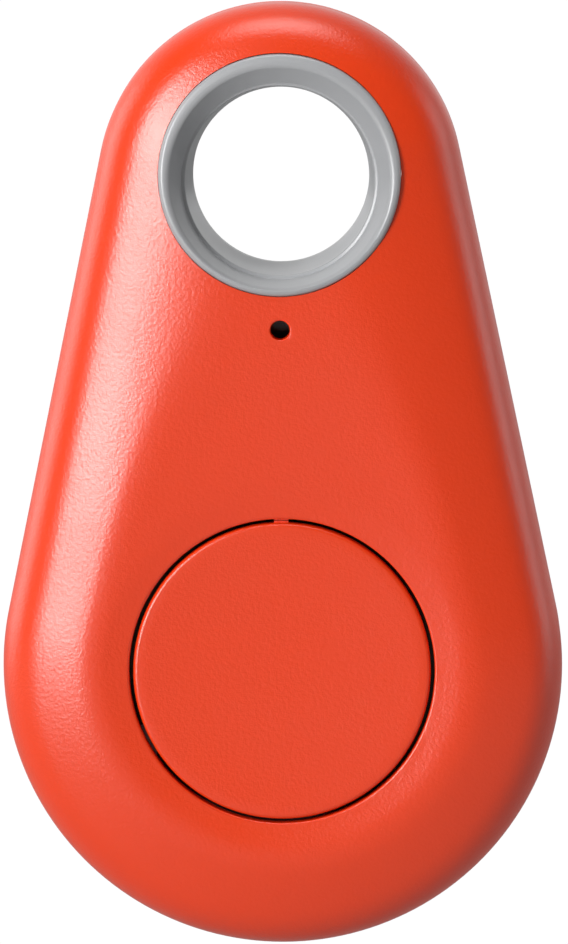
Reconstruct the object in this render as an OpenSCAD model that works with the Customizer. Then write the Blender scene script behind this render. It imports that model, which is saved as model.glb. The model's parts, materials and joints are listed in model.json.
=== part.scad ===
// Bluetooth tracker tag, hanging upright from its key-ring eye.
//
// Every piece is drawn flat on the bench and then stood up. On the bench X runs across the tag,
// Y runs from the button to the eye, and Z runs from the rear cover to the front cover. The bench
// origin is the middle of the eye, half way through the thickness. Stood up, the front faces -Y.

/* [Body] */
// Width across the wide end
body_w = 31; // [29:0.5:36]
// Width across the eye end
eye_end_w = 20.2; // [19:0.2:24]
// Distance between the centres of the two end arcs
arc_spacing = 26.6; // [24:0.2:34]
// Overall thickness
body_t = 11; // [10.6:0.1:13.2]
// Radius of the rounded side edge
edge_round = 3.2; // [2.4:0.1:3.8]
// Radius of the gently domed face
dome_round = 18.7; // [16:0.1:24]
// How far in from the outline the face goes on rising
dome_run = 9; // [8:0.1:9.8]
// Wall of both covers
wall = 1.2; // [1:0.05:1.4]

/* [Eye] */
// Radius of the straight bore that takes the split ring
eye_bore_r = 4.9; // [3.6:0.1:5.1]
// Outer radius of the grommet's rim
eye_rim_r = 6.68; // [6.2:0.02:7]
// How far the eye lies above the centre of the top arc
eye_lift = 0.4; // [0:0.1:0.6]
// How far the rim stands proud of the cover
rim_proud = 0.12; // [0.05:0.01:0.3]
// Depth of the rim's seat
rim_depth = 1.15; // [0.8:0.05:1.3]
// Wall of the grommet's sleeve
sleeve_wall = 1; // [0.8:0.05:1.2]
// How far the front grommet's sleeve reaches past the seam
sleeve_reach = 1.9; // [1.2:0.1:2.2]

/* [Button] */
// Radius of the aperture in the front cover
aperture_r = 8.43; // [7:0.01:9]
// Gap all round the button
button_gap = 0.22; // [0.15:0.01:0.35]
// Thickness of the button's rim
button_t = 0.95; // [0.8:0.05:1.1]
// How far the middle of the face is hollowed
button_dip = 0.16; // [0:0.01:0.3]
// Radius of the crest round the dish
dish_r = 10.1; // [9.4:0.05:11]
// Fall of the dish from crest to aperture
dish_fall = 0.36; // [0.2:0.02:0.5]
// Width of the film hinge at twelve o'clock
hinge_w = 0.8; // [0.6:0.1:2]
// Thickness of the film hinge
hinge_t = 0.3; // [0.2:0.05:0.4]

/* [Lamp] */
// Radius of the lamp hole
lamp_hole_r = 0.53; // [0.4:0.01:0.8]
// How far the lamp hole lies below the middle of the eye
lamp_drop = 8.1; // [7.9:0.1:9]

/* [Board] */
// Thickness of the circuit board
board_t = 0.8; // [0.6:0.1:1]
// Clearance between the board's edge and the covers
board_gap = 0.35; // [0.25:0.05:0.6]
// Radius of the pegs that carry the board
peg_r = 0.6; // [0.4:0.05:0.8]
// Radius of the posts that the pegs stand on
post_r = 1.15; // [1:0.05:1.3]

/* [Coin cell] */
// Radius of the cell
cell_r = 10; // [8:0.05:10]
// Thickness of the cell
cell_t = 3.2; // [2.5:0.1:3.2]
// Space between the cell and the board for the leaf contact
cell_gap = 0.4; // [0.35:0.05:0.6]
// Thickness of the plated clip over the cell
clip_t = 0.25; // [0.15:0.05:0.3]
// Width of the clip along the tag
clip_w = 7; // [5:0.5:9]

/* [Fits] */
// Clearance between the grommet and the covers
eye_clear = 0.05; // [0.03:0.01:0.1]
// Clearance between the lip and its rebate
lip_clear = 0.08; // [0.05:0.01:0.12]
// Gap between the two covers at the seam
seam_gap = 0.05; // [0.03:0.01:0.1]
// Clearance between a part and its neighbour inside
inner_clear = 0.05; // [0.03:0.01:0.1]

/* [Hidden] */
$fn = 96;

ORANGE = "#f0481c";
GREY = "#a3a4a6";
STEEL = "#c9cbcd";
BLACK = "#1d1e20";
COPPER = "#c67a45";

// A cut runs this far past what it cuts.
over = 1;
// Pieces of one solid sink this far into each other.
weld = 0.1;

// Outline: two arcs joined by their common tangents.
eye_arc_r = eye_end_w / 2;
wide_arc_r = body_w / 2;
eye_arc_y = -eye_lift;
wide_arc_y = eye_arc_y - arc_spacing;
side_slope = asin((wide_arc_r - eye_arc_r) / arc_spacing);
side_len = arc_spacing * cos(side_slope);

// Section: an edge arc that runs into the flatter dome arc, which ends at the flat face.
half_t = body_t / 2;
dome_z = half_t - dome_round;
edge_z = dome_z + sqrt(pow(dome_round - edge_round, 2) - pow(dome_run - edge_round, 2));
blend_slope = asin((dome_run - edge_round) / (dome_round - edge_round));
DOME_STEPS = 10;
EDGE_STEPS = 9;
OUTLINE_STEPS = 36;
ROLL_STEPS = 8;
ROUND_STEPS = 6;

// Height of the face over a point that lies d inside the outline.
function face_z(d) =
    d >= dome_run ? half_t : dome_z + sqrt(pow(dome_round, 2) - pow(dome_run - d, 2));

// How far a point on the tag's middle line lies inside the outline.
function inset_below_eye(y) = eye_arc_r + (eye_arc_y - y) * sin(side_slope);

// Stack, from the rear cover to the front one.
clip_lift = 0.6;
clip_z = -half_t + wall + clip_lift;
cell_z = clip_z + clip_t + inner_clear;
cell_top = cell_z + cell_t;
board_z = cell_top + cell_gap;
board_top = board_z + board_t;

// Lip round the seam.
lip_t = 0.6;
lip_h = 0.7;
lip_inset = wall - 0.5;
seam_groove_w = 0.4;
seam_groove_h = 0.2;
notch_w = 4;
notch_h = 0.9;
notch_depth = 0.55;

// Grommet: its rim leans back with the fall of the dome towards the top of the tag.
rim_low_z = face_z(inset_below_eye(-eye_rim_r));
rim_high_z = face_z(eye_arc_r - eye_rim_r - eye_lift * 2);
rim_tilt = atan((rim_low_z - rim_high_z) / (2 * eye_rim_r));
rim_top = (rim_low_z + rim_high_z) / 2 / cos(rim_tilt) + rim_proud;
rim_seat = rim_top - rim_depth;
rim_edge_r = 0.3;
throat_step = 0.45;
throat_r = eye_bore_r + throat_step;
throat_h = 0.9;
throat_draft = 0.05;
sleeve_r = eye_bore_r + sleeve_wall;
boss_wall = 0.9;
boss_r = eye_rim_r + boss_wall;
boss_floor = 1.6;
boss_waist_wall = 1.1;
boss_waist_r = sleeve_r + boss_waist_wall;

// Dish and button.
dish_crest_z = face_z(wide_arc_r - dish_r);
dish_foot_z = dish_crest_z - dish_fall;
// The dish near its crest, as distances out from the crest and above it.
dish_shoulder = [[-0.5, -0.12], [0, 0.02], [0.4, 0.2]];
dish_cut_r = dish_r + 0.8;
button_r = aperture_r - button_gap;
button_edge_r = 0.25;
button_under = dish_foot_z - button_t;
ring_wall = 0.7;
ring_r = dish_r + ring_wall;
ring_drop = 0.15;
ring_z = button_under - ring_drop;
hinge_y = wide_arc_y + aperture_r - button_gap / 2;
hinge_z = button_under + button_t / 2;
hinge_split = 0.03;
pip_r = 1.5;

// Lamp, in line with its hole.
lamp_y = -lamp_drop;
lamp_size = [1.6, 0.8, 0.35];
lens_size = [1.1, 0.8, 0.25];

// Board.
board_inset = wall + board_gap;
board_eye_gap = 0.3;
board_eye_r = boss_waist_r + board_eye_gap;
board_end_y = -0.7 * board_eye_r;
peg_head_r = peg_r + 0.35;
peg_head_h = 0.3;
peg_clear = 0.1;
peg_margin = 0.5;
peg_out = wide_arc_r - board_inset - post_r - peg_margin;
pegs = [
    [-7.6, -13.4],
    [0, wide_arc_y - peg_out],
    [9.4, wide_arc_y + 8]
];

// Tact switch, in the middle of the button.
switch_w = 5.1;
switch_base_h = 1.15;
switch_floor = 0.3;
switch_well_r = 2.1;
switch_plate_t = 0.2;
plunger_r = 1.2;
plunger_flange_r = 1.8;
plunger_flange_h = 0.25;
plunger_h = 2.05;
plunger_top = board_top + plunger_h;
dome_r = 1.9;
dome_t = 0.1;
dome_rise = 0.18;
terminal_size = [0.9, 0.6, 0.15];
terminal_y = 1.85;

// Radio chip with its leads.
chip_size = [9.9, 3.9, 1.4];
chip_y = wide_arc_y - 7.4;
chip_stand = 0.15;
lead_pitch = 1.27;
lead_count = 8;
lead_w = 0.4;
lead_t = 0.2;
lead_reach = 1;
lead_knee = 0.2;
dimple_r = 0.4;
dimple_in = 0.9;
dimple_depth = 0.1;

// Small parts on the board.
crystal_size = [3.2, 2.5, 0.8];
crystal_lid = [2.7, 2, 0.95];
crystal_at = [-8.6, wide_arc_y - 4.5];
small_part = [1, 0.5, 0.45];
small_pitch = 1.5;
capacitor_count = 5;
capacitor_y = wide_arc_y + 5;
resistor_count = 4;
resistor_at = [7.2, wide_arc_y - 2.4];

// Aerial: a meander of straight legs.
trace_w = 0.4;
trace_t = 0.05;
trace_legs = 7;
trace_pitch = 0.95;
trace_h = 4;
trace_x = -9;
trace_y = -19.2;

// Sounder.
buzzer_w = 7.5;
buzzer_at = [3.9, -13.6];
buzzer_base_h = 0.35;
buzzer_h = 2.45;
buzzer_roof = 0.35;
yoke_r = 3.1;
yoke_t = 0.2;
core_r = 0.75;
core_h = 1.05;
magnet_in_r = 2.2;
magnet_h = 0.95;
coil_r = 1.9;
coil_h = 0.8;
diaphragm_r = 3.35;
diaphragm_t = 0.1;
buzzer_bore_r = 3.15;
buzzer_port_r = 0.6;
buzzer_air = 0.15;
buzzer_step_z = board_top + buzzer_base_h + yoke_t + core_h + buzzer_air;
buzzer_pad = [0.5, 1.2, 0.15];
buzzer_pad_y = 2.6;

// Coin cell.
can_t = 0.25;
can_edge_r = 0.4;
crimp_drop = 0.15;
crimp_in = 0.65;
crimp_slope = 0.2;
// The mouth of the can as it curls in, as distances in from the wall and down from the lip.
crimp_curl = [[0, -0.35], [0.15, -0.1], [0.4, 0]];
can_lip_z = cell_top - crimp_drop;
gasket_t = 0.4;
cap_r = cell_r - crimp_in - gasket_t;
cap_t = 0.25;
cap_skirt = 1.9;
cap_bevel = 0.3;
cap_fillet = [0.2, 0.1];
lithium_t = 0.6;
separator_t = 0.1;

// Clip over the cell.
cell_side_gap = 0.15;
clip_in = cell_r + cell_side_gap;
clip_bend_r = 0.45;
clip_foot = 1.1;
clip_y = wide_arc_y + 1;
strap_w = 4;
stop_y = wide_arc_y + cell_r + cell_side_gap;
stop_drop = 0.3;
strap_window = [1.6, 2.4];
strap_window_y = clip_y + clip_w / 2 + 2.6;
leaf_t = 0.12;
leaf_w = 2;
leaf_len = 8;
leaf_pad_w = 3;
leaf_slope = asin((cell_gap - leaf_t - inner_clear) / (leaf_len / 2));

// ---- Shared shapes ----

module stand_up() {
    rotate([90, 0, 0]) children();
}

// Points of the tag's outline, drawn w inside the full one: round the wide end, then the eye end.
function outline_points(w) = concat(
    [for (i = [0 : OUTLINE_STEPS])
        let (a = 180 - side_slope + (180 + 2 * side_slope) * i / OUTLINE_STEPS)
        [(wide_arc_r - w) * cos(a), wide_arc_y + (wide_arc_r - w) * sin(a)]],
    [for (i = [0 : OUTLINE_STEPS])
        let (a = side_slope + (180 - 2 * side_slope) * i / OUTLINE_STEPS)
        [(eye_arc_r - w) * cos(a), eye_arc_y + (eye_arc_r - w) * sin(a)]]
);

module outline(w) {
    polygon(outline_points(w));
}

module outline_slab(w, low, high) {
    translate([0, 0, low]) linear_extrude(high - low) outline(w);
}

// Points of the front half of the section, from the side wall in to the flat face.
function rim_points(r, w) = concat(
    [for (i = [0 : EDGE_STEPS])
        let (a = (90 - blend_slope) * i / EDGE_STEPS)
        [r - edge_round + (edge_round - w) * cos(a), edge_z + (edge_round - w) * sin(a)]],
    [for (i = [1 : DOME_STEPS])
        let (a = 90 - blend_slope + blend_slope * i / DOME_STEPS)
        [r - dome_run + (dome_round - w) * cos(a), dome_z + (dome_round - w) * sin(a)]]
);

// Section through the solid tag from x = from out to the edge of an arc, drawn w inside the full one.
module section(r, w, from) {
    front = rim_points(r, w);
    last = len(front) - 1;
    polygon(concat(
        [[from, w - half_t]],
        [for (i = [last : -1 : 0]) [front[i].x, -front[i].y]],
        front,
        [[from, half_t - w]]
    ));
}

// The solid tag, drawn w inside its full size. Each half is drawn along its own sloping side,
// the two end arcs and the side sharing one frame, and is cut off at the middle plane.
module envelope(w) {
    spare = 4;
    shift = wide_arc_r - eye_arc_r;
    for (side = [0, 1]) mirror([side, 0, 0]) intersection() {
        bench_box([0, -2 * body_w, -body_t], [body_w, body_w, body_t]);
        translate([0, eye_arc_y]) rotate([0, 0, side_slope]) {
            rotate_extrude(angle = 90 - side_slope + spare) section(eye_arc_r, w, 0);
            rotate([90, 0, 0]) linear_extrude(side_len) section(eye_arc_r, w, -shift - spare);
            translate([-shift, -side_len]) rotate_extrude(angle = -90 - side_slope - spare)
                section(wide_arc_r, w, 0);
        }
    }
}

module bench_box(low, high) {
    translate(low) cube(high - low);
}

module rear_space(z) {
    bench_box([-body_w, -body_w * 2, -body_t], [body_w, body_w, z]);
}

module column(at, r, low, high) {
    translate([at.x, at.y, low]) cylinder(r = r, h = high - low);
}

module pad(at, size, low) {
    translate([at.x - size.x / 2, at.y - size.y / 2, low]) cube(size);
}

// Places what lies on the front of the eye, leaning back with the rim.
module lean() {
    rotate([-rim_tilt, 0, 0]) children();
}

// ---- Housing ----

// Hole through a cover for the grommet: a straight hole with a leaning seat for the rim.
module eyelet_hole() {
    column([0, 0], sleeve_r + eye_clear, -over, body_t);
    lean() column([0, 0], eye_rim_r + eye_clear, rim_seat - inner_clear, body_t);
}

// Tube inside a cover round the eye.
module eye_boss(low) {
    column([0, 0], boss_waist_r, low, half_t);
    column([0, 0], boss_r, rim_seat - boss_floor, half_t);
}

module half_shell() {
    difference() {
        envelope(0);
        envelope(wall);
        rear_space(0);
    }
}

// Dish round the button: falls from the crest to the aperture, rounded over at the crest.
module dish_cut() {
    translate([0, wide_arc_y]) rotate_extrude() polygon([
        [0, dish_foot_z],
        [aperture_r, dish_foot_z],
        for (p = dish_shoulder) [dish_r + p.x, dish_crest_z + p.y],
        [dish_cut_r, half_t + inner_clear],
        [dish_cut_r, half_t + over],
        [0, half_t + over]
    ]);
}

// The cover's half of the film hinge, and the cap's half, meet at the hinge line.
module hinge_web(near, far) {
    bench_box(
        [-hinge_w / 2, near, hinge_z - hinge_t / 2],
        [hinge_w / 2, far, hinge_z + hinge_t / 2]
    );
}

module board_pegs() {
    for (at = pegs) {
        column(at, peg_r, board_z - peg_head_h, board_top + over);
        column(at, peg_head_r, board_z - peg_head_h, board_z);
    }
}

module front_cover() {
    color(ORANGE) stand_up() {
        difference() {
            union() {
                half_shell();
                intersection() {
                    envelope(wall / 2);
                    union() {
                        eye_boss(0);
                        column([0, wide_arc_y], ring_r, ring_z, half_t);
                        for (at = pegs) column(at, post_r, board_top, half_t);
                    }
                }
            }
            dish_cut();
            column([0, wide_arc_y], aperture_r, 0, body_t);
            eyelet_hole();
            column([0, lamp_y], lamp_hole_r, board_top, body_t);
            outline_slab(lip_inset - lip_clear, -over, lip_h + lip_clear);
        }
        hinge_web(hinge_y + hinge_split / 2, wide_arc_y + aperture_r + weld);
        board_pegs();
    }
}

module rear_cover() {
    color(ORANGE) stand_up() difference() {
        union() {
            mirror([0, 0, 1]) difference() {
                half_shell();
                rear_space(seam_gap);
            }
            seam_lip();
            mirror([0, 0, 1]) intersection() {
                envelope(wall / 2);
                eye_boss(seam_gap);
            }
        }
        mirror([0, 0, 1]) eyelet_hole();
        seam_groove();
        pry_notch();
    }
}

// Lip that stands up from the rear cover into the front one.
module seam_lip() {
    translate([0, 0, -over]) linear_extrude(lip_h + over) difference() {
        outline(lip_inset);
        outline(lip_inset + lip_t);
    }
}

// Shadow line round the seam.
module seam_groove() {
    translate([0, 0, -seam_groove_h]) linear_extrude(seam_groove_h + over) difference() {
        outline(-over);
        outline(seam_groove_w);
    }
}

// Notch for a coin edge at the bottom of the seam.
module pry_notch() {
    bottom = wide_arc_y - wide_arc_r;
    bench_box(
        [-notch_w / 2, bottom - over, -notch_h],
        [notch_w / 2, bottom + notch_depth, over]
    );
}

// Space inside the grommet ahead of its straight bore: a cone, a short wall and a rolled rim.
module grommet_throat() {
    wall_r = throat_r + throat_draft;
    roll_r = eye_rim_r - rim_edge_r - wall_r;
    roll_z = rim_top - roll_r;
    cone_z = roll_z - throat_h;
    lean() rotate_extrude() polygon(concat(
        [[0, cone_z - throat_r], [throat_r, cone_z], [wall_r, roll_z]],
        [for (i = [1 : ROLL_STEPS])
            let (a = 180 - 90 * i / ROLL_STEPS)
            [wall_r + roll_r + roll_r * cos(a), roll_z + roll_r * sin(a)]],
        [[wall_r + roll_r, rim_top + over], [0, rim_top + over]]
    ));
}

// Solid grommet from the mid-plane to the rim, before it is bored.
module grommet_blank(low) {
    column([0, 0], sleeve_r, low, (rim_seat + rim_top) / 2);
    lean() rotate_extrude() polygon(concat(
        [[0, rim_seat], [eye_rim_r, rim_seat]],
        [for (i = [0 : ROUND_STEPS])
            let (a = 90 * i / ROUND_STEPS)
            [eye_rim_r - rim_edge_r * (1 - cos(a)), rim_top - rim_edge_r * (1 - sin(a))]],
        [[0, rim_top]]
    ));
}

module eyelet_front() {
    color(GREY) stand_up() difference() {
        grommet_blank(-sleeve_reach);
        column([0, 0], eye_bore_r, -half_t, body_t);
        grommet_throat();
    }
}

module eyelet_rear() {
    color(GREY) stand_up() mirror([0, 0, 1]) difference() {
        grommet_blank(sleeve_reach + inner_clear);
        column([0, 0], eye_bore_r, 0, body_t);
        grommet_throat();
    }
}

module button_cap() {
    color(ORANGE) stand_up() {
        translate([0, wide_arc_y]) rotate_extrude() polygon(concat(
            [[0, button_under], [button_r, button_under]],
            [for (i = [0 : ROUND_STEPS])
                let (a = 90 * i / ROUND_STEPS)
                [button_r - button_edge_r * (1 - cos(a)), dish_foot_z - button_edge_r * (1 - sin(a))]],
            [for (i = [ROUND_STEPS - 1 : -1 : 0])
                let (t = i / ROUND_STEPS)
                [t * (button_r - button_edge_r), dish_foot_z - button_dip * (1 - t * t)]]
        ));
        column([0, wide_arc_y], pip_r, plunger_top + inner_clear / 2, button_under + weld);
        hinge_web(wide_arc_y + button_r - weld, hinge_y - hinge_split / 2);
    }
}

// ---- Board and what is soldered to it ----

module circuit_board() {
    color("#1f6b3a") stand_up() difference() {
        outline_slab(board_inset, board_z, board_top);
        column([0, 0], board_eye_r, board_z - over, board_top + over);
        bench_box([-body_w, board_end_y, board_z - over], [body_w, body_w, board_top + over]);
        for (at = pegs) column(at, peg_r + peg_clear, board_z - over, board_top + over);
    }
}

module antenna_trace() {
    color(COPPER) stand_up() translate([trace_x, trace_y, board_top]) linear_extrude(trace_t) {
        for (i = [0 : trace_legs - 1])
            translate([i * trace_pitch - trace_w / 2, 0]) square([trace_w, trace_h]);
        for (i = [0 : trace_legs - 2])
            translate([i * trace_pitch - trace_w / 2, i % 2 == 0 ? trace_h - trace_w : 0])
                square([trace_pitch + trace_w, trace_w]);
    }
}

module radio_chip() {
    color(BLACK) stand_up() difference() {
        pad([0, chip_y], chip_size, board_top + chip_stand);
        column([chip_size.x / 2 - dimple_in, chip_y - chip_size.y / 2 + dimple_in], dimple_r,
            board_top + chip_stand + chip_size.z - dimple_depth, board_top + chip_size.z + over);
    }
}

// Gull-wing leads in two rows.
module chip_leads() {
    knee_z = board_top + chip_stand + chip_size.z / 2;
    edge = chip_size.y / 2;
    color(STEEL) stand_up() for (side = [-1, 1], i = [0 : lead_count - 1])
        translate([(i - (lead_count - 1) / 2) * lead_pitch - lead_w / 2, chip_y, 0])
            rotate([90, 0, 90]) linear_extrude(lead_w) polygon([
                for (p = [
                    [edge, knee_z], [edge, knee_z - lead_t],
                    [edge + lead_knee, knee_z - lead_t], [edge + lead_knee, board_top],
                    [edge + lead_reach, board_top], [edge + lead_reach, board_top + lead_t],
                    [edge + lead_knee + lead_t, board_top + lead_t], [edge + lead_knee + lead_t, knee_z]
                ]) [side * p.x, p.y]
            ]);
}

// Ceramic tray with a smaller steel lid.
module crystal() {
    color(STEEL) stand_up() {
        pad(crystal_at, crystal_size, board_top);
        pad(crystal_at, crystal_lid, board_top);
    }
}

// A row of chip capacitors above the switch.
module chip_capacitors() {
    color("#b9a27c") stand_up() for (i = [0 : capacitor_count - 1])
        pad([(i - (capacitor_count - 1) / 2) * small_pitch, capacitor_y], small_part, board_top);
}

// A column of chip resistors beside the switch.
module chip_resistors() {
    color("#2a2c30") stand_up() for (i = [0 : resistor_count - 1])
        pad(resistor_at + [0, i * small_pitch], small_part, board_top);
}

module status_led() {
    color("#f1eee2") stand_up() pad([0, lamp_y], lamp_size, board_top);
}

module led_lens() {
    color("#e8f2ff") stand_up() pad([0, lamp_y], lens_size, board_top + lamp_size.z);
}

module switch_base() {
    color(BLACK) stand_up() difference() {
        pad([0, wide_arc_y], [switch_w, switch_w, switch_base_h], board_top);
        column([0, wide_arc_y], switch_well_r, board_top + switch_floor, board_top + switch_base_h + over);
    }
}

module switch_plate() {
    color(STEEL) stand_up() difference() {
        pad([0, wide_arc_y], [switch_w, switch_w, switch_plate_t], board_top + switch_base_h);
        column([0, wide_arc_y], plunger_r + inner_clear, board_top, plunger_top);
    }
}

// Snap dome, at the height to which a press flattens it.
module switch_dome() {
    bow = (dome_r * dome_r + dome_rise * dome_rise) / (2 * dome_rise);
    color(STEEL) stand_up() translate([0, wide_arc_y, board_top + switch_floor]) intersection() {
        cylinder(r = dome_r, h = dome_rise + dome_t);
        translate([0, 0, dome_rise - bow]) difference() {
            sphere(r = bow + dome_t);
            sphere(r = bow);
        }
    }
}

module switch_plunger() {
    flange_top = board_top + switch_base_h - inner_clear;
    color("#e9e3d3") stand_up() {
        column([0, wide_arc_y], plunger_flange_r, flange_top - plunger_flange_h, flange_top);
        column([0, wide_arc_y], plunger_r, flange_top - plunger_flange_h, plunger_top);
    }
}

module switch_terminals() {
    color(STEEL) stand_up() for (x = [-1, 1], y = [-1, 1])
        pad([x * (switch_w + terminal_size.x) / 2, wide_arc_y + y * terminal_y], terminal_size, board_top);
}

// ---- Sounder ----

module buzzer_base() {
    color(BLACK) stand_up() pad(buzzer_at, [buzzer_w, buzzer_w, buzzer_base_h], board_top);
}

module buzzer_case() {
    low = board_top + buzzer_base_h;
    high = board_top + buzzer_h;
    color(BLACK) stand_up() difference() {
        pad(buzzer_at, [buzzer_w, buzzer_w, high - low], low);
        column(buzzer_at, buzzer_bore_r, low - over, high - buzzer_roof);
        column(buzzer_at, diaphragm_r + inner_clear, buzzer_step_z, high - buzzer_roof);
        column(buzzer_at, buzzer_port_r, low, high + over);
    }
}

module buzzer_core() {
    low = board_top + buzzer_base_h;
    color("#8b8d90") stand_up() {
        column(buzzer_at, yoke_r, low, low + yoke_t);
        column(buzzer_at, core_r, low, low + yoke_t + core_h);
    }
}

module buzzer_magnet() {
    low = board_top + buzzer_base_h + yoke_t;
    color("#3a3c40") stand_up() difference() {
        column(buzzer_at, yoke_r, low, low + magnet_h);
        column(buzzer_at, magnet_in_r, low - over, low + magnet_h + over);
    }
}

module buzzer_coil() {
    low = board_top + buzzer_base_h + yoke_t + inner_clear;
    color(COPPER) stand_up() difference() {
        column(buzzer_at, coil_r, low, low + coil_h);
        column(buzzer_at, core_r + inner_clear, low - over, low + coil_h + over);
    }
}

module buzzer_diaphragm() {
    color(STEEL) stand_up() column(buzzer_at, diaphragm_r, buzzer_step_z, buzzer_step_z + diaphragm_t);
}

module buzzer_terminals() {
    color(STEEL) stand_up() for (x = [-1, 1], y = [-1, 1])
        pad(buzzer_at + [x * (buzzer_w + buzzer_pad.x) / 2, y * buzzer_pad_y], buzzer_pad, board_top);
}

// ---- Coin cell and its contacts ----

// Strap over the cell, with a leg and a foot on each side and a stop at the top.
module battery_clip() {
    color(STEEL) stand_up() {
        translate([0, clip_y + clip_w / 2, 0]) rotate([90, 0, 0]) linear_extrude(clip_w) clip_section();
        difference() {
            bench_box([-strap_w / 2, clip_y, clip_z], [strap_w / 2, stop_y + clip_t, clip_z + clip_t]);
            pad([0, strap_window_y], [strap_window.x, strap_window.y, over], clip_z - over / 2);
        }
        bench_box([-strap_w / 2, stop_y, clip_z], [strap_w / 2, stop_y + clip_t, cell_top - stop_drop]);
    }
}

// Bent section of the strap, across the tag.
module clip_section() {
    outer = clip_in + clip_t;
    difference() {
        union() {
            translate([-outer, clip_z + clip_bend_r]) square([2 * outer, board_z - clip_z - clip_bend_r]);
            translate([clip_bend_r - outer, clip_z]) square([2 * (outer - clip_bend_r), clip_bend_r]);
            for (side = [-1, 1])
                translate([side * (outer - clip_bend_r), clip_z + clip_bend_r]) circle(r = clip_bend_r);
            translate([-outer - clip_foot, board_z - clip_t]) square([2 * (outer + clip_foot), clip_t]);
        }
        translate([-clip_in, clip_z + clip_t]) square([2 * clip_in, body_t]);
    }
}

// Leaf contact on the board that presses on the cell's cap.
module negative_spring() {
    color("#d9b76a") stand_up() {
        pad([0, wide_arc_y], [leaf_pad_w, leaf_pad_w, leaf_t], board_z - leaf_t);
        for (side = [0, 1]) translate([0, wide_arc_y, board_z - leaf_t]) mirror([0, side, 0])
            rotate([-leaf_slope, 0, 0]) translate([-leaf_w / 2, 0, 0]) cube([leaf_w, leaf_len / 2, leaf_t]);
    }
}

// Steel cup with a rounded rear edge and its mouth crimped inwards.
module cell_can() {
    color(STEEL) stand_up() translate([0, wide_arc_y]) rotate_extrude() polygon(concat(
        [[0, cell_z]],
        [for (i = [0 : ROUND_STEPS])
            let (a = -90 + 90 * i / ROUND_STEPS)
            [cell_r - can_edge_r * (1 - cos(a)), cell_z + can_edge_r * (1 + sin(a))]],
        [for (p = crimp_curl) [cell_r - p.x, can_lip_z + p.y]],
        [
            [cell_r - crimp_in, can_lip_z],
            [cell_r - crimp_in, can_lip_z - can_t],
            [cell_r - can_t, can_lip_z - can_t - crimp_slope],
            [cell_r - can_t, cell_z + can_t],
            [0, cell_z + can_t]
        ]
    ));
}

// Moulded ring that insulates the cap from the can.
module cell_gasket() {
    color("#e4e0d6") stand_up() translate([0, wide_arc_y]) rotate_extrude() polygon([
        [cap_r, cell_z + can_t],
        [cell_r - can_t, cell_z + can_t],
        [cell_r - can_t, can_lip_z - can_t - crimp_slope],
        [cell_r - crimp_in, can_lip_z - can_t],
        [cell_r - crimp_in, can_lip_z],
        [cap_r, can_lip_z]
    ]);
}

// Negative cap: a shallow cup, mouth down, inside the gasket.
module cell_cap() {
    color("#d5d7d8") stand_up() translate([0, wide_arc_y]) rotate_extrude() polygon([
        [0, cell_top],
        [cap_r - cap_bevel, cell_top],
        [cap_r, cell_top - cap_bevel],
        [cap_r, cell_top - cap_skirt],
        [cap_r - cap_t, cell_top - cap_skirt],
        [cap_r - cap_t, cell_top - cap_t - cap_fillet.y],
        [cap_r - cap_t - cap_fillet.x, cell_top - cap_t],
        [0, cell_top - cap_t]
    ]);
}

module cathode_pellet() {
    color("#2b2a2a") stand_up() translate([0, wide_arc_y, 0])
        column([0, 0], cap_r - cap_t, cell_z + can_t, cell_top - cap_t - lithium_t - separator_t);
}

module separator() {
    low = cell_top - cap_t - lithium_t - separator_t;
    color("white") stand_up() translate([0, wide_arc_y, 0])
        column([0, 0], cap_r - cap_t, low, low + separator_t);
}

module lithium_disc() {
    color("#b8babd") stand_up() translate([0, wide_arc_y, 0])
        column([0, 0], cap_r - cap_t - cap_bevel, cell_top - cap_t - lithium_t, cell_top - cap_t);
}

front_cover();
rear_cover();
eyelet_front();
eyelet_rear();
button_cap();
circuit_board();
antenna_trace();
radio_chip();
chip_leads();
crystal();
chip_capacitors();
chip_resistors();
status_led();
led_lens();
switch_base();
switch_plate();
switch_dome();
switch_plunger();
switch_terminals();
buzzer_base();
buzzer_case();
buzzer_core();
buzzer_magnet();
buzzer_coil();
buzzer_diaphragm();
buzzer_terminals();
battery_clip();
negative_spring();
cell_can();
cell_gasket();
cell_cap();
cathode_pellet();
separator();
lithium_disc();
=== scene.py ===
import json
import math
import bmesh
import bpy
from mathutils import Matrix, Vector


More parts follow.
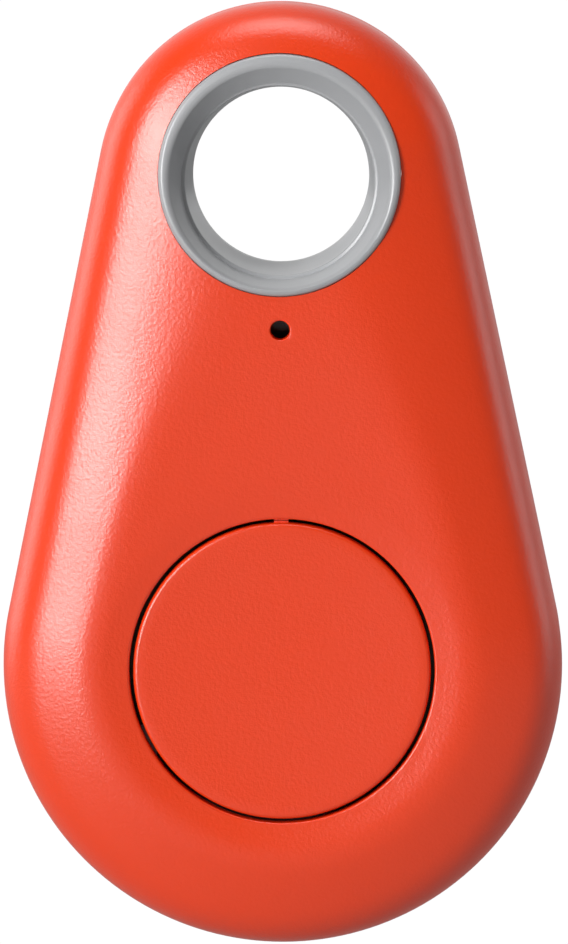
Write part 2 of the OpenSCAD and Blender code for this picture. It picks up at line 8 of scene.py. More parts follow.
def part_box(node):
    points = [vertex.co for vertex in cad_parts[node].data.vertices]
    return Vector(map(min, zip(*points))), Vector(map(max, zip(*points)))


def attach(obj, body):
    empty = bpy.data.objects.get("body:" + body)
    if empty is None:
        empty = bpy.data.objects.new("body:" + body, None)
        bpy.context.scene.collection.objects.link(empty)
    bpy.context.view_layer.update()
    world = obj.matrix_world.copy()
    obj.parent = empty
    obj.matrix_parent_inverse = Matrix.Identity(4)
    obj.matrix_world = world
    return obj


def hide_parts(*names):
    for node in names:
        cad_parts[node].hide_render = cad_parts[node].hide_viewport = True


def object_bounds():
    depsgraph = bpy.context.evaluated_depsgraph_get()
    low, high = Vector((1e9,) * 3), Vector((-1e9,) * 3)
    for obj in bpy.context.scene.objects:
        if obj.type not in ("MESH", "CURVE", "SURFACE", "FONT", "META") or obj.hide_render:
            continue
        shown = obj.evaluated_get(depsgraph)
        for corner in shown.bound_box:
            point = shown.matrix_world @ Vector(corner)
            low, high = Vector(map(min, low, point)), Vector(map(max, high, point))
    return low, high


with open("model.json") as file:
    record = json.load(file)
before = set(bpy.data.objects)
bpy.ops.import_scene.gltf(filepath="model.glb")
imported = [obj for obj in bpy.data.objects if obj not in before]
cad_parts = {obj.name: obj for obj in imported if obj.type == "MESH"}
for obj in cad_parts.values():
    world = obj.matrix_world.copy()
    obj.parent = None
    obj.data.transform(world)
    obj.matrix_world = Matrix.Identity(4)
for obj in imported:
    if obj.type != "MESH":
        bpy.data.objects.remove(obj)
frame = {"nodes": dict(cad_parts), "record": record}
cadLow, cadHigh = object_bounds()
nodes = frame["nodes"]
mm = 0.001
cutPast = 2.0  # how far a cutting tool runs past what it cuts, in millimetres
sinkIn = 0.2  # how far a part sinks into the piece that it is joined to, in millimetres
nearEnough = 0.01  # two places closer than this are the same, in millimetres
roundSteps = 6  # pieces in the arc of a rounded edge
print("frame loaded:", len(nodes), "nodes")


def clearSelection():
    if bpy.context.mode != "OBJECT":
        bpy.ops.object.mode_set(mode="OBJECT")
    bpy.ops.object.select_all(action="DESELECT")


def activate(piece):
    clearSelection()
    piece.select_set(True)
    bpy.context.view_layer.objects.active = piece


def nameNew(name):
    piece = bpy.context.active_object
    piece.name = name
    piece.data.name = name
    return piece


def settle(piece):
    # the place goes into the mesh, so that the object sits at the origin
    activate(piece)
    bpy.ops.object.transform_apply(location=True, rotation=True, scale=True)
    return piece


def applyModifier(piece, kind, **settings):
    activate(piece)
    modifier = piece.modifiers.new(kind.title(), kind)
    for key, value in settings.items():
        setattr(modifier, key, value)
    bpy.ops.object.modifier_apply(modifier=modifier.name)


def cutWith(piece, tool, operation="DIFFERENCE"):
    applyModifier(piece, "BOOLEAN", object=tool, operation=operation, solver="EXACT")
    bpy.data.objects.remove(tool)


def joinTo(piece, part):
    activate(piece)
    part.select_set(True)
    bpy.ops.object.join()


def smoothUp(piece, angle=32):
    activate(piece)
    bpy.ops.object.shade_smooth_by_angle(angle=math.radians(angle))


def arc(centre, radius, fromAngle, toAngle, steps):
    # points of an arc, as [out, forward] pairs in millimetres
    points = []
    for step in range(steps + 1):
        angle = math.radians(fromAngle + (toAngle - fromAngle) * step / steps)
        points.append((centre[0] + radius * math.cos(angle), centre[1] + radius * math.sin(angle)))
    return points


def lathe(name, profile, centre, steps=128, closed=False):
    # the profile is [out, forward] in millimetres, extruded point by point and spun round an axis along Y
    clearSelection()
    bpy.ops.mesh.primitive_plane_add(size=mm, location=(0, 0, 0))
    piece = nameNew(name)
    bpy.ops.object.mode_set(mode="EDIT")
    bpy.ops.mesh.select_all(action="SELECT")
    bpy.ops.mesh.merge(type="CENTER")
    path = list(profile) + ([profile[0]] if closed else [])
    out, forward = path[0]
    bpy.ops.transform.translate(value=(out * mm, -forward * mm, 0))
    for nextOut, nextForward in path[1:]:
        step = ((nextOut - out) * mm, -(nextForward - forward) * mm, 0)
        bpy.ops.mesh.extrude_region_move(TRANSFORM_OT_translate={"value": step})
        out, forward = nextOut, nextForward
    bpy.ops.mesh.select_all(action="SELECT")
    bpy.ops.mesh.spin(steps=steps, angle=2 * math.pi, center=(0, 0, 0), axis=(0, 1, 0))
    bpy.ops.mesh.select_all(action="SELECT")
    bpy.ops.mesh.remove_doubles(threshold=0.002 * mm)
    bpy.ops.mesh.normals_make_consistent(inside=False)
    bpy.ops.transform.translate(value=centre)
    bpy.ops.object.mode_set(mode="OBJECT")
    return settle(piece)


def colour(hexText):
    parts = [int(hexText[at:at + 2], 16) / 255 for at in (1, 3, 5)]
    linear = [part / 12.92 if part <= 0.04045 else ((part + 0.055) / 1.055) ** 2.4 for part in parts]
    return (*linear, 1.0)


def addNode(tree, kind, values=None, links=None, **settings):
    made = tree.nodes.new(kind)
    for key, value in settings.items():
        setattr(made, key, value)
    for socket, value in (values or {}).items():
        made.inputs[socket].default_value = value
    for socket, source in (links or {}).items():
        tree.links.new(source, made.inputs[socket])
    return made


def patternScale(sizeMm):
    return 1 / (sizeMm * mm)


plainLook = {"bump": 0.4, "wear": 0.15, "stretch": (1, 1, 1)}  # what a finish has when it doesn't say
noiseSpread = (0.3, 0.7)  # where nearly all values of a noise lie
wearSpread = (0.66, 0.8)  # only the peaks of the noise are rubbed


def surface(look):
    # one recipe for every finish: a base with fine grain, patches of tone, a little wear and its own gloss
    look = {**plainLook, **look}
    material = bpy.data.materials.new(look["name"])
    material.use_nodes = True
    tree = material.node_tree
    tree.nodes.clear()
    place = addNode(tree, "ShaderNodeTexCoord").outputs["Object"]
    drawn = addNode(
        tree, "ShaderNodeMapping", {"Scale": look["stretch"]}, {"Vector": place},
    ).outputs["Vector"]
    grain = addNode(
        tree, "ShaderNodeTexNoise",
        {"Scale": patternScale(look["grainSize"]), "Detail": 3.0, "Roughness": 0.6}, {"Vector": drawn},
    ).outputs["Fac"]
    patches = addNode(
        tree, "ShaderNodeTexNoise",
        {"Scale": patternScale(look["patchSize"]), "Detail": 4.0}, {"Vector": place},
    ).outputs["Fac"]
    tone = addNode(tree, "ShaderNodeMix", None, {"Factor": patches}, data_type="RGBA")
    tone.inputs[6].default_value = colour(look["base"])
    tone.inputs[7].default_value = colour(look["patch"])
    rubs = addNode(
        tree, "ShaderNodeTexNoise",
        {"Scale": patternScale(look["patchSize"] / 5), "Detail": 8.0}, {"Vector": place},
    ).outputs["Fac"]
    scuff = addNode(
        tree, "ShaderNodeMapRange",
        {"From Min": wearSpread[0], "From Max": wearSpread[1], "To Min": 0.0, "To Max": look["wear"]},
        {"Value": rubs},
    ).outputs["Result"]
    worn = addNode(tree, "ShaderNodeMix", None, {"Factor": scuff, 6: tone.outputs[2]}, data_type="RGBA")
    worn.inputs[7].default_value = colour(look["worn"])
    gloss = addNode(
        tree, "ShaderNodeMapRange",
        {"From Min": noiseSpread[0], "From Max": noiseSpread[1],
         "To Min": look["roughness"][0], "To Max": look["roughness"][1]},
        {"Value": patches},
    ).outputs["Result"]
    bump = addNode(
        tree, "ShaderNodeBump", {"Strength": look["bump"], "Distance": look["grainDepth"] * mm},
        {"Height": grain},
    ).outputs["Normal"]
    shader = addNode(
        tree, "ShaderNodeBsdfPrincipled", look.get("shader"),
        {"Base Color": worn.outputs[2], "Roughness": gloss, "Normal": bump},
    )
    addNode(tree, "ShaderNodeOutputMaterial", None, {"Surface": shader.outputs["BSDF"]})
    return material


# Each finish: base and patch are its two tones, worn is the tone of its rubbed spots, sizes are in
# millimetres, and roughness runs from its glossiest to its dullest. A grain finer than about 0.1 mm is drawn
# at that size, because a finer one would not show.
finishes = {
    # injection-moulded ABS with a fine spark-eroded texture: satin, with a sparkle of grain in the highlight
    "orange_abs": {
        "name": "orangeAbsSparkEroded", "base": "#f63f00", "patch": "#f23d00", "worn": "#f06232",
        "grainSize": 0.19, "grainDepth": 0.024, "bump": 0.9, "patchSize": 7.0, "roughness": (0.30, 0.34),
        "wear": 0.06, "shader": {"IOR": 1.53, "Specular IOR Level": 0.85,
                                 "Subsurface Weight": 0.05, "Subsurface Scale": 0.0006,
                                 "Subsurface Radius": (1.0, 0.25, 0.08)},
    },
    # the same ABS in grey, from a smoother tool: a soft even sheen
    "grey_abs": {
        "name": "greyAbsSatin", "base": "#b0b1b3", "patch": "#abacae", "worn": "#bebfc1",
        "grainSize": 0.16, "grainDepth": 0.008, "bump": 0.5, "patchSize": 5.0, "roughness": (0.3, 0.36),
        "wear": 0.12, "shader": {"IOR": 1.53, "Specular IOR Level": 0.7},
    },
    # glass-epoxy laminate under green solder resist: glossy, with the weave just showing through
    "board_laminate": {
        "name": "greenSolderResist", "base": "#14532b", "patch": "#1a5f33", "worn": "#3d7d52",
        "grainSize": 0.35, "grainDepth": 0.006, "bump": 0.3, "patchSize": 6.0, "roughness": (0.22, 0.34),
        "stretch": (1.0, 1.0, 3.0), "shader": {"IOR": 1.55},
    },
    # etched copper left bare: warm and slightly tarnished in patches
    "copper": {
        "name": "etchedCopper", "base": "#c77b4a", "patch": "#a9623a", "worn": "#dca078",
        "grainSize": 0.12, "grainDepth": 0.003, "patchSize": 1.5, "roughness": (0.26, 0.42),
        "shader": {"Metallic": 1.0},
    },
    # moulded epoxy compound: near black, matt, finely pitted
    "chip_epoxy": {
        "name": "mouldedEpoxy", "base": "#1c1d1f", "patch": "#232427", "worn": "#3a3b3e",
        "grainSize": 0.12, "grainDepth": 0.008, "patchSize": 3.0, "roughness": (0.52, 0.66),
        "shader": {"IOR": 1.55},
    },
    # steel with a matt electroplated tin coat: pale and cloudy
    "tinned_steel": {
        "name": "tinPlatedSteel", "base": "#c9cbcc", "patch": "#b5b8ba", "worn": "#dfe1e2",
        "grainSize": 0.12, "grainDepth": 0.003, "patchSize": 0.8, "roughness": (0.3, 0.44),
        "shader": {"Metallic": 1.0},
    },
    # rolled strip with bright nickel plate: faint rolling lines and rub marks
    "nickel_steel": {
        "name": "nickelPlatedSteel", "base": "#cfcbc2", "patch": "#bdb9b0", "worn": "#e2dfd8",
        "grainSize": 0.15, "grainDepth": 0.003, "patchSize": 4.0, "roughness": (0.16, 0.3),
        "stretch": (0.08, 1.0, 1.0), "shader": {"Metallic": 1.0},
    },
    # phosphor bronze spring strip with a gold flash: yellow, fine lines along the strip
    "spring_bronze": {
        "name": "goldFlashedBronze", "base": "#d9b265", "patch": "#c79f54", "worn": "#e8cd93",
        "grainSize": 0.12, "grainDepth": 0.003, "patchSize": 1.5, "roughness": (0.2, 0.32),
        "stretch": (1.0, 1.0, 0.1), "shader": {"Metallic": 1.0},
    },
    # fired barium titanate: tan, dry and even
    "capacitor_ceramic": {
        "name": "firedTanCeramic", "base": "#a08761", "patch": "#937b57", "worn": "#b9a27c",
        "grainSize": 0.1, "grainDepth": 0.003, "patchSize": 0.6, "roughness": (0.42, 0.55),
        "shader": {"IOR": 1.6},
    },
    # glazed resistor body: dark glass over white alumina
    "resistor_ceramic": {
        "name": "glazedResistor", "base": "#1d1f24", "patch": "#25282e", "worn": "#4a4d54",
        "grainSize": 0.1, "grainDepth": 0.002, "patchSize": 0.6, "roughness": (0.18, 0.3),
        "shader": {"IOR": 1.52},
    },
    # white reflector ceramic of the lamp
    "lamp_ceramic": {
        "name": "whiteLampCeramic", "base": "#e9e6dc", "patch": "#dedacd", "worn": "#f3f1ea",
        "grainSize": 0.1, "grainDepth": 0.002, "patchSize": 0.8, "roughness": (0.35, 0.45),
        "shader": {"IOR": 1.6},
    },
    # clear cast epoxy: glassy, very slightly cloudy
    "lens_epoxy": {
        "name": "clearCastEpoxy", "base": "#e6edf2", "patch": "#dbe4ea", "worn": "#f2f6f8",
        "grainSize": 0.3, "grainDepth": 0.001, "patchSize": 0.8, "roughness": (0.06, 0.14),
        "shader": {"IOR": 1.53, "Transmission Weight": 0.8},
    },
    # unfilled nylon: milky, waxy, light passes into it
    "nylon_natural": {
        "name": "mouldedNylon", "base": "#e0d9c4", "patch": "#d7cfb7", "worn": "#eee9da",
        "grainSize": 0.15, "grainDepth": 0.004, "patchSize": 2.0, "roughness": (0.35, 0.45),
        "shader": {"IOR": 1.53, "Subsurface Weight": 0.15, "Subsurface Scale": 0.0005},
    },
    # soft iron, turned: grey with tool lines
    "iron": {
        "name": "turnedIron", "base": "#77787b", "patch": "#6a6b6e", "worn": "#95969a",
        "grainSize": 0.12, "grainDepth": 0.004, "patchSize": 1.0, "roughness": (0.3, 0.45),
        "shader": {"Metallic": 1.0},
    },
    # sintered ferrite, ground flat: charcoal and dry
    "ferrite": {
        "name": "groundFerrite", "base": "#2f3033", "patch": "#38393c", "worn": "#55575b",
        "grainSize": 0.12, "grainDepth": 0.004, "patchSize": 1.0, "roughness": (0.5, 0.62),
        "shader": {"IOR": 2.2},
    },
    # manganese dioxide pressed with graphite: black and crumbly
    "cathode_mix": {
        "name": "pressedCathodeMix", "base": "#1a1919", "patch": "#242322", "worn": "#3b3a38",
        "grainSize": 0.18, "grainDepth": 0.02, "patchSize": 1.5, "roughness": (0.7, 0.85),
        "shader": {"IOR": 1.6},
    },
    # felted separator paper: white, fibrous
    "separator_paper": {
        "name": "feltedPaper", "base": "#efede6", "patch": "#e5e2d8", "worn": "#f7f5f0",
        "grainSize": 0.2, "grainDepth": 0.015, "patchSize": 2.0, "roughness": (0.8, 0.9),
        "stretch": (1.0, 1.0, 0.3), "shader": {"IOR": 1.45},
    },
    # rolled lithium foil: soft silver, dulled in the air
    "lithium": {
        "name": "rolledLithium", "base": "#b4b7ba", "patch": "#9c9fa3", "worn": "#cfd2d4",
        "grainSize": 0.15, "grainDepth": 0.004, "patchSize": 2.5, "roughness": (0.35, 0.5),
        "stretch": (0.1, 1.0, 1.0), "shader": {"Metallic": 1.0},
    },
}
paint = {slot: surface(look) for slot, look in finishes.items()}
nodeSlot = {part["node"]: part["material_slot"] for part in frame["record"]["subparts"]}
for nodeName, cadNode in nodes.items():
    if not cadNode.material_slots:
        cadNode.data.materials.append(None)
    for materialSlot in cadNode.material_slots:
        materialSlot.material = paint[nodeSlot[nodeName]]
print("finishes made:", len(paint))


def finish(piece, body, slotName, *replaced):
    # every new piece gets its finish, rides on its body and stands for its CAD node
    piece.data.materials.clear()
    piece.data.materials.append(paint[slotName])
    smoothUp(piece)
    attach(piece, body)
    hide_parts(*replaced)
    print(piece.name, "done,", len(piece.data.polygons), "faces")


# The covers, in millimetres. The outline is two arcs and their tangents; the section is an edge arc that runs
# into a flatter dome arc.
shell = {
    "wall": 1.2, "edgeRound": 3.2, "domeRound": 18.7, "domeRun": 9.0, "eyeEndWidth": 20.2,
    "arcSteps": 180, "sideCuts": 46, "edgeRings": 12, "domeRing": 0.3, "gridFrom": 4.4, "gridAcross": 60,
    "softness": 0.22, "eyeHole": 6.70, "lampHole": 0.53, "lampDrop": 8.1, "lampRound": 0.1,
}
# The seam: the rear cover has the groove, a coin notch at the bottom and a lip that enters the front cover.
seam = {
    "gap": 0.05, "grooveIn": 0.4, "grooveTall": 0.2, "notchWidth": 4.0, "notchTall": 0.9, "notchDeep": 0.55,
    "lipIn": 0.7, "lipThick": 0.6, "lipTall": 0.7, "lipRoot": 0.3, "lipClear": 0.08,
}
# The dish round the button: its floor rises by nearSlope degrees up to the crest, and by farSlope beyond it.
dish = {
    "crest": 9.9, "foot": 4.79, "nearSlope": 8.0, "farSlope": 3.0, "aperture": 8.43, "apertureRound": 0.13,
}

coverLow, coverHigh = (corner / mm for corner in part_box("front_cover"))
wideRadius = (coverHigh.x - coverLow.x) / 2
eyeRadius = shell["eyeEndWidth"] / 2
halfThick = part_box("rear_cover")[1].y / mm
wideCentre = Vector((0, coverLow.z + wideRadius))
eyeCentre = Vector((0, coverHigh.z - eyeRadius))
arcSpacing = (eyeCentre - wideCentre).y
sideSlope = math.asin((wideRadius - eyeRadius) / arcSpacing)
sideLength = arcSpacing * math.cos(sideSlope)
domeHeight = halfThick - shell["domeRound"]
blendReach = shell["domeRun"] - shell["edgeRound"]
edgeHeight = domeHeight + math.sqrt((shell["domeRound"] - shell["edgeRound"]) ** 2 - blendReach ** 2)
blendAngle = math.asin(blendReach / (shell["domeRound"] - shell["edgeRound"]))
edgeInset = shell["edgeRound"] * (1 - math.sin(blendAngle))
buttonCentre = (0, 0, wideCentre.y * mm)


def insetAt(x, z):
    # how far a point lies inside the outline
    point = Vector((abs(x), z))
    along = Vector((-math.sin(sideSlope), math.cos(sideSlope)))
    out = Vector((math.cos(sideSlope), math.sin(sideSlope)))
    run = (point - wideCentre).dot(along)
    if run < 0:
        return wideRadius - (point - wideCentre).length
    if run > sideLength:
        return eyeRadius - (point - eyeCentre).length
    return wideRadius - (point - wideCentre).dot(out)


def softLower(first, second, softness):
    # the lower of two heights, with the crease between them rounded
    near = max(softness - abs(first - second), 0) / softness
    return min(first, second) - softness * near * near / 4


def faceHeight(x, z, dished):
    # height of a cover's face over the seam; the dish falls gently at first and then more to the button
    inset = insetAt(x, z)
    if inset >= shell["domeRun"]:
        height = halfThick
    elif inset >= edgeInset:
        height = domeHeight + math.sqrt(shell["domeRound"] ** 2 - (shell["domeRun"] - inset) ** 2)
    else:
        height = edgeHeight + math.sqrt(shell["edgeRound"] ** 2 - (shell["edgeRound"] - max(inset, 0)) ** 2)
    if not dished:
        return height
    reach = (Vector((x, z)) - wideCentre).length
    near = max(min(reach, dish["crest"]) - dish["aperture"], 0) * math.tan(math.radians(dish["nearSlope"]))
    far = max(reach - dish["crest"], 0) * math.tan(math.radians(dish["farSlope"]))
    return softLower(height, dish["foot"] + near + far, shell["softness"])


def outlineLoop(name):
    # a circle as wide as the tag, its upper part drawn in and moved up to be the eye end
    clearSelection()
    bpy.ops.mesh.primitive_circle_add(
        vertices=shell["arcSteps"], radius=wideRadius * mm, fill_type="NOTHING",
        location=buttonCentre, rotation=(math.radians(90), 0, 0),
    )
    piece = settle(nameNew(name))
    bpy.ops.object.mode_set(mode="EDIT")
    mesh = bmesh.from_edit_mesh(piece.data)
    for vert in mesh.verts:
        vert.select = vert.co.z / mm - wideCentre.y > wideRadius * math.sin(sideSlope)
    mesh.select_flush_mode()
    shrink = eyeRadius / wideRadius
    bpy.ops.transform.resize(value=(shrink, 1, shrink), center_override=buttonCentre)
    bpy.ops.transform.translate(value=(0, 0, arcSpacing * mm))
    mesh = bmesh.from_edit_mesh(piece.data)
    mesh.select_mode = {"EDGE"}
    for edge in mesh.edges:
        edge.select = edge.calc_length() > sideLength / 2 * mm
    mesh.select_flush_mode()
    bpy.ops.mesh.subdivide(number_cuts=shell["sideCuts"])
    bpy.ops.mesh.select_all(action="SELECT")
    bpy.ops.mesh.edge_face_add()
    return piece


def coverSkin(name, side, dished, seamAt):
    # rings are set in one by one from the edge, the middle is a fine grid, and then every point gets its
    # height; side is -1 for the front and 1 for the rear
    piece = outlineLoop(name)
    bpy.ops.mesh.extrude_region_move(TRANSFORM_OT_translate={"value": (0, side * edgeHeight * mm, 0)})
    turn = (math.pi / 2 - blendAngle) / shell["edgeRings"]
    insets = [shell["edgeRound"] * (1 - math.cos(turn * ring)) for ring in range(1, shell["edgeRings"] + 1)]
    while insets[-1] < shell["gridFrom"]:
        insets.append(insets[-1] + shell["domeRing"])
    before = 0
    for inset in insets:
        bpy.ops.mesh.inset(thickness=(inset - before) * mm, depth=0, use_even_offset=True)
        before = inset
    bpy.ops.mesh.delete(type="ONLY_FACE")
    mesh = bmesh.from_edit_mesh(piece.data)
    for edge in mesh.edges:
        edge.select = all(
            abs(insetAt(vert.co.x / mm, vert.co.z / mm) - before) < nearEnough for vert in edge.verts)
    mesh.select_flush_mode()
    bpy.ops.mesh.fill_grid(span=shell["gridAcross"])
    mesh = bmesh.from_edit_mesh(piece.data)
    for face in mesh.faces:
        face.select = len(face.verts) > 4  # the flat face that closed the outline
    bpy.ops.mesh.delete(type="ONLY_FACE")
    mesh = bmesh.from_edit_mesh(piece.data)
    for vert in mesh.verts:
        if abs(vert.co.y) > edgeHeight / 2 * mm:
            vert.co.y = side * faceHeight(vert.co.x / mm, vert.co.z / mm, dished) * mm
        else:
            vert.co.y = seamAt * mm
    mesh.normal_update()
    bmesh.update_edit_mesh(piece.data)
    bpy.ops.mesh.select_all(action="SELECT")
    bpy.ops.mesh.normals_make_consistent(inside=False)
    mesh = bmesh.from_edit_mesh(piece.data)
    if sum(face.normal.y * side for face in mesh.faces) < 0:
        bpy.ops.mesh.flip_normals()
    bpy.ops.object.mode_set(mode="OBJECT")
    applyModifier(piece, "SOLIDIFY", thickness=shell["wall"] * mm, offset=-1, use_even_offset=True)
    return piece


def outlineSlab(name, inset, low, high):
    # a slab of the outline, set in all round
    piece = outlineLoop(name)
    bpy.ops.mesh.inset(thickness=inset * mm, depth=0, use_even_offset=True)
    bpy.ops.mesh.select_mode(type="VERT")
    mesh = bmesh.from_edit_mesh(piece.data)
    for vert in mesh.verts:
        vert.select = insetAt(vert.co.x / mm, vert.co.z / mm) < inset / 2
    mesh.select_flush_mode()
    bpy.ops.mesh.delete(type="VERT")
    bpy.ops.mesh.select_all(action="SELECT")
    bpy.ops.transform.translate(value=(0, low * mm, 0))
    bpy.ops.mesh.extrude_region_move(TRANSFORM_OT_translate={"value": (0, (high - low) * mm, 0)})
    bpy.ops.mesh.select_all(action="SELECT")
    bpy.ops.mesh.normals_make_consistent(inside=False)
    bpy.ops.object.mode_set(mode="OBJECT")
    return piece


def block(name, low, high):
    # a box between two corners in millimetres
    low, high = Vector(low) * mm, Vector(high) * mm
    clearSelection()
    bpy.ops.mesh.primitive_cube_add(size=1, location=(low + high) / 2)
    piece = nameNew(name)
    piece.scale = high - low
    return settle(piece)


def bellCutter(name, radius, rounding, low, face, centre):
    # a drill whose flare leaves a rounded edge at the face
    flare = arc((radius + rounding, face - rounding), rounding, 180, 90, roundSteps)
    top = face + cutPast
    profile = [(0, low), (radius, low)] + flare + [(radius + rounding, top), (0, top)]
    return lathe(name, profile, centre)


# Places inside the front cover: the posts that carry the board, each with a peg and a melted head.
posts = {
    "places": [(-7.6, -13.4), (0.0, -39.3), (9.4, -19.0)],
    "postRadius": 1.15, "pegRadius": 0.6, "headRadius": 0.95, "headHeight": 0.3, "headRound": 0.1,
    "turnSteps": 32,
}
boardLow, boardHigh = (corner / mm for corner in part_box("circuit_board"))
boardFront = -boardLow.y
boardBack = -boardHigh.y
print("board from", round(boardBack, 3), "to", round(boardFront, 3))

frontCover = coverSkin("frontCover", -1, True, 0)
rebateIn = seam["lipIn"] - seam["lipClear"]
cutWith(frontCover, outlineSlab("rebate", rebateIn, -seam["lipTall"] - seam["lipClear"], cutPast))
for number, (x, z) in enumerate(posts["places"]):
    root = faceHeight(x, z, True) - shell["wall"] / 2
    post = lathe("post" + str(number), [
        (0, root), (posts["postRadius"], root), (posts["postRadius"], boardFront),
        (posts["pegRadius"], boardFront), (posts["pegRadius"], boardBack), (posts["headRadius"], boardBack),
        (posts["headRadius"] - posts["headRound"], boardBack - posts["headHeight"]),
        (0, boardBack - posts["headHeight"]),
    ], (x * mm, 0, z * mm), steps=posts["turnSteps"])
    joinTo(frontCover, post)
cutWith(frontCover, bellCutter(
    "aperture", dish["aperture"], dish["apertureRound"], 0, dish["foot"], buttonCentre))
lampFace = faceHeight(0, -shell["lampDrop"], True)
cutWith(frontCover, bellCutter(
    "lampDrill", shell["lampHole"], shell["lampRound"], lampFace - shell["wall"] - cutPast, lampFace,
    (0, 0, -shell["lampDrop"] * mm)))

rearCover = coverSkin("rearCover", 1, False, seam["gap"])
pastSide = wideRadius + cutPast
pastBottom = coverLow.z - cutPast
aroundSeam = block("aroundSeam", (-pastSide, -cutPast, pastBottom),
                   (pastSide, seam["grooveTall"], coverHigh.z + cutPast))
cutWith(aroundSeam, outlineSlab("seamCore", seam["grooveIn"], -2 * cutPast, 2 * cutPast))
cutWith(rearCover, aroundSeam)
lip = outlineSlab("lip", seam["lipIn"], -seam["lipTall"], seam["gap"] + seam["lipRoot"])
cutWith(lip, outlineSlab("lipCore", seam["lipIn"] + seam["lipThick"], -2 * cutPast, 2 * cutPast))
cutWith(rearCover, lip, "UNION")
cutWith(rearCover, block(
    "pryNotch", (-seam["notchWidth"] / 2, -cutPast, pastBottom),
    (seam["notchWidth"] / 2, seam["notchTall"], coverLow.z + seam["notchDeep"])))

# The grommets, in millimetres: out from the eye's axis and forward from the middle of the tag.
grommet = {
    "bore": 4.9, "sleeve": 5.9, "rim": 6.68, "rimTop": 5.07, "seat": 3.95, "edgeRound": 0.3,
    "roll": 0.4, "rollEnd": 153, "throat": 5.42, "frontMouth": 5.22, "ledge": 3.35, "ledgeRound": 0.12,
    "ledgeStep": 0.05, "rollSteps": 10, "ledgeSteps": 5, "reach": 1.9, "lean": 4.9,
}


def leanRim(piece, side, leanFrom, leanTo):
    # the rim lies back with the fall of the face towards the top, turned about the middle of the eye; what
    # lies nearer to the axis than leanFrom stays straight
    activate(piece)
    bpy.ops.object.mode_set(mode="EDIT")
    mesh = bmesh.from_edit_mesh(piece.data)
    for vert in mesh.verts:
        out = math.hypot(vert.co.x, vert.co.z) / mm
        share = min(max((out - leanFrom) / (leanTo - leanFrom), 0), 1)
        turn = Matrix.Rotation(math.radians(grommet["lean"]) * share * side, 3, "X")
        vert.co = turn @ vert.co
    bmesh.update_edit_mesh(piece.data)
    bpy.ops.object.mode_set(mode="OBJECT")


def makeGrommet(name, side, low, mouth):
    # a steep funnel over a small ledge, and then the bore, which narrows inwards from its mouth
    g = grommet
    profile = [(g["sleeve"], low), (g["sleeve"], g["seat"]), (g["rim"], g["seat"])]
    rimMiddle = g["rim"] - g["edgeRound"]
    profile += arc((rimMiddle, g["rimTop"] - g["edgeRound"]), g["edgeRound"], 0, 90, roundSteps)
    profile += arc((rimMiddle, g["rimTop"] - g["roll"]), g["roll"], 90, g["rollEnd"], g["rollSteps"])[1:]
    profile += [(g["throat"], g["ledge"] + g["ledgeStep"])]
    profile += arc(
        (mouth + g["ledgeRound"], g["ledge"] - g["ledgeRound"]), g["ledgeRound"], 90, 180, g["ledgeSteps"])
    profile += [(g["bore"], low)]
    if side > 0:
        profile = [(out, -forward) for out, forward in profile]
    piece = lathe(name, profile, (0, 0, 0), closed=True)
    leanRim(piece, side, g["throat"], rimMiddle)
    return piece


for cover, side in ((frontCover, -1), (rearCover, 1)):
    hole = shell["eyeHole"]
    drillEnd = -side * (halfThick + cutPast)
    drill = lathe("eyeDrill", [(0, 0), (hole, 0), (hole, drillEnd), (0, drillEnd)], (0, 0, 0))
    leanRim(drill, side, -1, 0)
    cutWith(cover, drill)

frontEyelet = makeGrommet("frontEyelet", -1, -grommet["reach"], grommet["frontMouth"])
rearEyelet = makeGrommet("rearEyelet", 1, grommet["reach"] + seam["gap"], grommet["bore"])

# The button: a turned cap with a soft rim and a slightly hollow face, its pip, and its half of the hinge.
button = {
    "radius": 8.21, "under": 3.84, "edgeRound": 0.25, "dip": 0.16, "pipRadius": 1.2, "pipEnd": 3.12,
    "hingeWidth": 0.8, "hingeThick": 0.3, "hingeLine": -18.68, "hingeSlit": 0.03, "hollowSteps": 14,
    "turnSteps": 160,
}
faceRadius = button["radius"] - button["edgeRound"]
capProfile = [
    (0, button["pipEnd"]), (button["pipRadius"], button["pipEnd"]), (button["pipRadius"], button["under"]),
    (button["radius"], button["under"]),
]
capProfile += arc((faceRadius, dish["foot"] - button["edgeRound"]), button["edgeRound"], 0, 90, roundSteps)
for step in range(button["hollowSteps"] - 1, -1, -1):
    share = step / button["hollowSteps"]
    capProfile.append((share * faceRadius, dish["foot"] - button["dip"] * (1 - share ** 2)))
buttonCap = lathe("buttonCap", capProfile, buttonCentre, steps=button["turnSteps"])


def hingeTab(name, fromZ, toZ):
    half = Vector((button["hingeWidth"], button["hingeThick"])) / 2
    middle = (button["under"] + dish["foot"]) / 2
    return block(name, (-half.x, -middle - half.y, fromZ), (half.x, -middle + half.y, toZ))


slitLow = button["hingeLine"] - button["hingeSlit"] / 2
slitHigh = button["hingeLine"] + button["hingeSlit"] / 2
cutWith(buttonCap, hingeTab("capTab", wideCentre.y + button["radius"] - sinkIn, slitLow), "UNION")
cutWith(frontCover, hingeTab("coverTab", slitHigh, wideCentre.y + dish["aperture"] + sinkIn), "UNION")

finish(frontCover, "tag", "orange_abs", "front_cover")
finish(rearCover, "rear", "orange_abs", "rear_cover")
finish(frontEyelet, "tag", "grey_abs", "eyelet_front")
finish(rearEyelet, "rear", "grey_abs", "eyelet_rear")
finish(buttonCap, "button", "orange_abs", "button_cap")

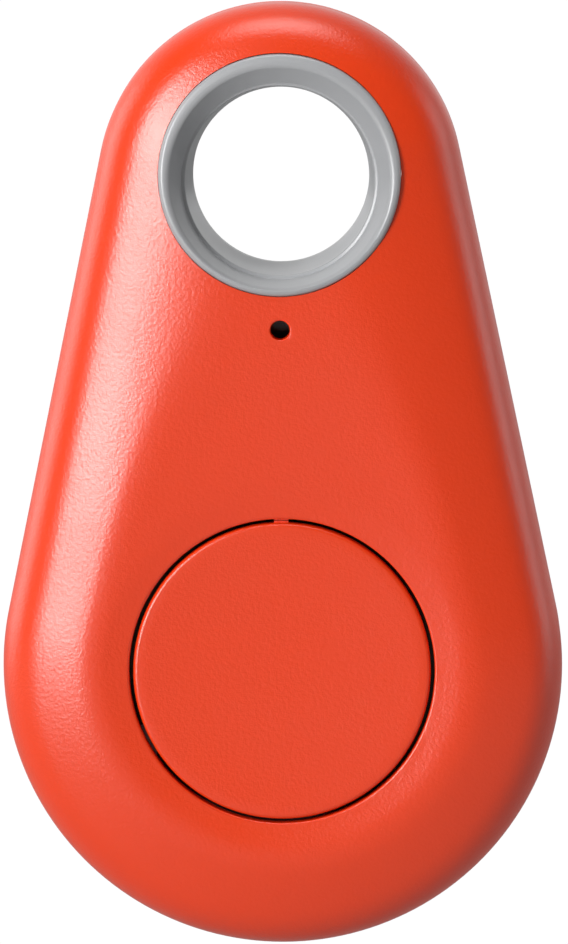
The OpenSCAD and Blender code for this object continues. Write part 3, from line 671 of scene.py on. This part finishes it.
# The floor is a sheet of paper. The camera sees it burnt out to white, and it lights the tag only softly.
# The drop is in millimetres below the tag, the size in metres.
stage = {"floorDrop": 14.0, "floorSize": 8.0, "paper": "#8c8c8c", "floorGlow": 0.12, "floorSeen": 1.02}
clearSelection()
bpy.ops.mesh.primitive_grid_add(
    x_subdivisions=12, y_subdivisions=12, size=stage["floorSize"],
    location=(0, 0, cadLow.z - stage["floorDrop"] * mm),
)
floor = settle(nameNew("floor"))
floorPaint = bpy.data.materials.new("whitePaper")
floorPaint.use_nodes = True
floorTree = floorPaint.node_tree
floorTree.nodes.clear()
paper = addNode(floorTree, "ShaderNodeBsdfPrincipled", {
    "Base Color": colour(stage["paper"]), "Roughness": 0.8,
    "Emission Color": (1, 1, 1, 1), "Emission Strength": stage["floorGlow"]})
burntOut = addNode(floorTree, "ShaderNodeEmission", {"Color": (1, 1, 1, 1), "Strength": stage["floorSeen"]})
floorPath = addNode(floorTree, "ShaderNodeLightPath")
floorMix = addNode(floorTree, "ShaderNodeMixShader", None, {
    0: floorPath.outputs["Is Camera Ray"], 1: paper.outputs[0], 2: burntOut.outputs[0]})
addNode(floorTree, "ShaderNodeOutputMaterial", None, {"Surface": floorMix.outputs[0]})
floor.data.materials.append(floorPaint)
print("floor laid")

# A white room: the camera sees it plain white, and it lights the tag mostly from behind, so that the edges
# are pale.
studio = {
    "worldSeen": 1.02, "lightInFront": 0.09, "lightBehind": 0.85, "fadeFrom": 0.1, "fadeTo": 0.9,
    # name, turn, rise, distance in metres, width and height in metres, watts
    "softboxes": [
        ("keySoftbox", -38.0, 6.0, 0.8, (0.18, 0.7), 8.2),
        ("leftSoftbox", -112.0, 8.0, 0.7, (0.4, 0.6), 1.4),
        ("rightSoftbox", 100.0, 10.0, 0.8, (0.3, 0.6), 0.9),
        ("topSoftbox", 0.0, 80.0, 0.8, (0.5, 0.4), 2.3),
    ],
}
world = bpy.data.worlds.new("studioWhite")
bpy.context.scene.world = world
world.use_nodes = True
sky = world.node_tree
sky.nodes.clear()
seen = addNode(sky, "ShaderNodeBackground", {"Color": (1, 1, 1, 1), "Strength": studio["worldSeen"]})
skyWay = addNode(sky, "ShaderNodeTexCoord").outputs["Generated"]
behind = addNode(sky, "ShaderNodeSeparateXYZ", None, {"Vector": skyWay}).outputs["Y"]
fade = addNode(
    sky, "ShaderNodeMapRange",
    {"From Min": studio["fadeFrom"], "From Max": studio["fadeTo"],
     "To Min": studio["lightInFront"], "To Max": studio["lightBehind"]},
    {"Value": behind},
).outputs["Result"]
lit = addNode(sky, "ShaderNodeBackground", {"Color": (1, 1, 1, 1)}, {"Strength": fade})
lightPath = addNode(sky, "ShaderNodeLightPath")
both = addNode(sky, "ShaderNodeMixShader", None, {
    0: lightPath.outputs["Is Camera Ray"], 1: lit.outputs[0], 2: seen.outputs[0]})
addNode(sky, "ShaderNodeOutputWorld", None, {"Surface": both.outputs[0]})

middle = Vector((0, 0, (cadLow.z + cadHigh.z) / 2))


def aimedPlace(turn, rise, distance, target):
    # turn 0 looks along +Y from in front, positive turns go to the right
    turn, rise = math.radians(turn), math.radians(rise)
    way = Vector((math.sin(turn) * math.cos(rise), -math.cos(turn) * math.cos(rise), math.sin(rise)))
    return target + way * distance, way.to_track_quat("Z", "Y").to_euler()


def softbox(name, turn, rise, distance, size, power):
    place, heading = aimedPlace(turn, rise, distance, middle)
    clearSelection()
    bpy.ops.object.light_add(type="AREA", location=place, rotation=heading)
    lamp = bpy.context.active_object
    lamp.name = name
    lamp.data.shape = "RECTANGLE"
    lamp.data.size, lamp.data.size_y = size
    lamp.data.energy = power


for softboxSettings in studio["softboxes"]:
    softbox(*softboxSettings)
print("softboxes placed:", len(studio["softboxes"]))

# The camera: turn, rise and roll are in degrees, the rest in millimetres.
view = {
    "turn": 0.75, "rise": 5.2, "roll": -0.3, "distance": 600.0, "frameHeight": 52.39, "sensor": 24.0,
    "aim": (0.11, 0, -16.4),
}
aim = Vector(view["aim"]) * mm
place, heading = aimedPlace(view["turn"], view["rise"], view["distance"] * mm, aim)
clearSelection()
bpy.ops.object.camera_add(location=place, rotation=heading)
camera = bpy.context.active_object
camera.rotation_euler.rotate_axis("Z", math.radians(view["roll"]))
camera.data.sensor_fit = "VERTICAL"
camera.data.sensor_height = view["sensor"]
camera.data.lens = view["sensor"] * view["distance"] / view["frameHeight"]
camera.data.clip_start = 0.01
bpy.context.scene.camera = camera
print("camera placed")
bpy.context.scene.view_settings.view_transform = "Standard"
